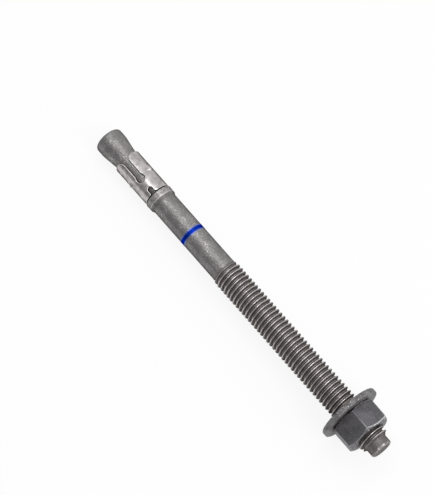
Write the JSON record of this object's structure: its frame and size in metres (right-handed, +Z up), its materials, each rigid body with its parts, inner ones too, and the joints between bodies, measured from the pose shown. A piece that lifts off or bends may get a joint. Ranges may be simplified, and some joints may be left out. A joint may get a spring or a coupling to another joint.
{
  "type": "wedge expansion anchor",
  "caption": "Zinc-coated through-bolt anchor for concrete, with a wedge tail, a rolled stainless expansion clip, a painted depth mark, a long right-hand thread, a flat washer and a hex nut.",
  "frame": {"origin": "on the floor under the middle of the bounding box, with the anchor lying at rest on its tail rim and its washer rim", "axes": "+X along the bolt from the tail to the tip, with the bolt rising 2.52 degrees towards the tip; +Z up from the floor; +Y to the left of the bolt"},
  "size_m": [0.178, 0.027, 0.027],
  "materials": {
    "galvanised_bolt": "mottled zinc coating, satin",
    "stainless_clip": "bright rolled stainless strip",
    "zinc_washer": "dull grainy zinc coating",
    "zinc_nut": "dull blue-grey zinc coating with worn bright edges",
    "depth_mark": "thin blue paint"
  },
  "bodies": {
    "bolt": {"anchor_bolt": "galvanised_bolt"},
    "washer": {"flat_washer": "zinc_washer"},
    "nut": {"hex_nut": "zinc_nut"},
    "clip": {"expansion_clip": "stainless_clip"}
  },
  "joints": [
    {"name": "washer_slide", "type": "slide", "parent": "bolt", "child": "washer", "axis": [0.999, 0, 0.0439], "range_m": [-0.0743, 0.0118]},
    {"name": "nut_spin", "type": "hinge", "parent": "washer", "child": "nut", "pos_m": [0.0755, 0, 0.01352], "axis": [0.999, 0, 0.0439], "range_deg": [-13680, 2160]},
    {"name": "clip_spin", "type": "hinge", "parent": "bolt", "child": "clip", "pos_m": [-0.06682, 0, 0.00725], "axis": [0.999, 0, 0.0439], "continuous": true}
  ],
  "couplings": [
    {"joint": "washer_slide", "follows": "nut_spin", "m_per_rad": 0.00031099}
  ]
}
